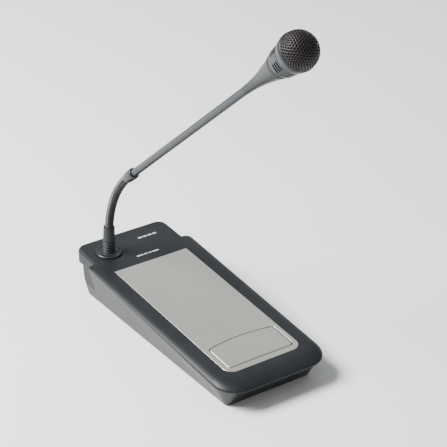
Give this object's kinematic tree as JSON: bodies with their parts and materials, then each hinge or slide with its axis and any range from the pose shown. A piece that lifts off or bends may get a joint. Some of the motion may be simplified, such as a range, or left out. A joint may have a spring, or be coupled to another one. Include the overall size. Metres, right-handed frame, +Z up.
{
  "type": "gooseneck desk microphone",
  "caption": "Desk call station: wedge-shaped base with a silver panel and wide push-to-talk key, and a microphone on a flexible gooseneck stem.",
  "frame": {"origin": "centre of the object outline on the desk plane, feet undersides at Z = 0", "axes": "+Z up, +X to the talker's right, +Y to the rear of the base; the talker sits on the -Y side"},
  "size_m": [0.1, 0.2786, 0.3174],
  "materials": {
    "cover_plastic": "fine moulded texture, charcoal",
    "housing_plastic": "fine moulded texture, charcoal",
    "panel_metal": "satin lacquered, warm silver",
    "zinc_steel": "zinc plated",
    "black_steel": "black oxide",
    "rubber": "matt",
    "sleeve_rubber": "matt",
    "neck_black": "satin black",
    "stem_black": "satin black",
    "head_plastic": "satin black",
    "band_grey": "satin dark grey",
    "grille_black": "satin black wire mesh",
    "foam": "open-cell foam",
    "capsule_metal": "plain",
    "board_laminate": "green solder mask",
    "black_plastic": "moulded",
    "contact_gold": "gold flash"
  },
  "bodies": {
    "base": {"top_cover": "cover_plastic", "lower_housing": "housing_plastic", "ballast_plate": "zinc_steel", "ballast_screws": "zinc_steel", "rubber_feet": "rubber", "case_screws": "black_steel", "insert_panel": "panel_metal", "key_hinge_pin": "zinc_steel", "main_board": "board_laminate", "board_screws": "zinc_steel", "key_switch_body": "black_plastic", "key_return_spring": "zinc_steel", "socket_board": "board_laminate", "socket_board_screws": "zinc_steel", "line_socket": "black_plastic", "socket_contacts": "contact_gold", "neck_rosette": "neck_black", "neck_sleeve": "sleeve_rubber", "neck_washer": "zinc_steel", "neck_nut": "zinc_steel", "neck_root": "neck_black"},
    "key": {"ptt_key": "panel_metal"},
    "plunger": {"key_switch_plunger": "black_plastic"},
    "microphone": {"stem_end_fitting": "neck_black", "stem_ferrule": "neck_black", "stem_tube": "stem_black", "head_flare": "head_plastic", "head_seal_ring": "sleeve_rubber", "slotted_band": "band_grey", "head_collar": "band_grey", "grille": "grille_black", "grille_foam": "foam", "microphone_capsule": "capsule_metal", "capsule_mount": "sleeve_rubber"},
    "link_1": {"neck_link_1": "neck_black"},
    "link_2": {"neck_link_2": "neck_black"},
    "link_3": {"neck_link_3": "neck_black"}
  },
  "joints": [
    {"name": "key_press", "type": "hinge", "parent": "base", "child": "key", "pos_m": [0, -0.04361, 0.02348], "axis": [1, 0, 0], "range_deg": [0, 2.8], "stiffness_Nm_per_rad": 0.6, "springref_deg": -2.86, "deforming": ["key_return_spring"]},
    {"name": "plunger_slide", "type": "slide", "parent": "base", "child": "plunger", "axis": [0, 0.0698, -0.9976], "range_m": [0, 0.00085]},
    {"name": "neck_bend_1", "type": "hinge", "parent": "base", "child": "link_1", "pos_m": [-0.02358, 0.11195, 0.06854], "axis": [0.9987, 0.0513, 0.0036], "range_deg": [-30, 15]},
    {"name": "neck_sway_1", "type": "hinge", "parent": "link_1", "child": "link_2", "pos_m": [-0.02339, 0.10719, 0.08604], "axis": [0.0492, -0.9336, -0.3549], "range_deg": [-25, 25]},
    {"name": "neck_bend_2", "type": "hinge", "parent": "link_2", "child": "link_3", "pos_m": [-0.02304, 0.09915, 0.10229], "axis": [0.9987, 0.0513, 0.0036], "range_deg": [-30, 15]},
    {"name": "neck_sway_2", "type": "hinge", "parent": "link_3", "child": "microphone", "pos_m": [-0.02253, 0.08812, 0.11668], "axis": [0.0399, -0.7294, -0.683], "range_deg": [-25, 25]}
  ],
  "couplings": [
    {"joint": "plunger_slide", "follows": "key_press", "m_per_rad": 0.016},
    {"joint": "neck_bend_2", "follows": "neck_bend_1", "ratio": 1},
    {"joint": "neck_sway_2", "follows": "neck_sway_1", "ratio": 1}
  ]
}
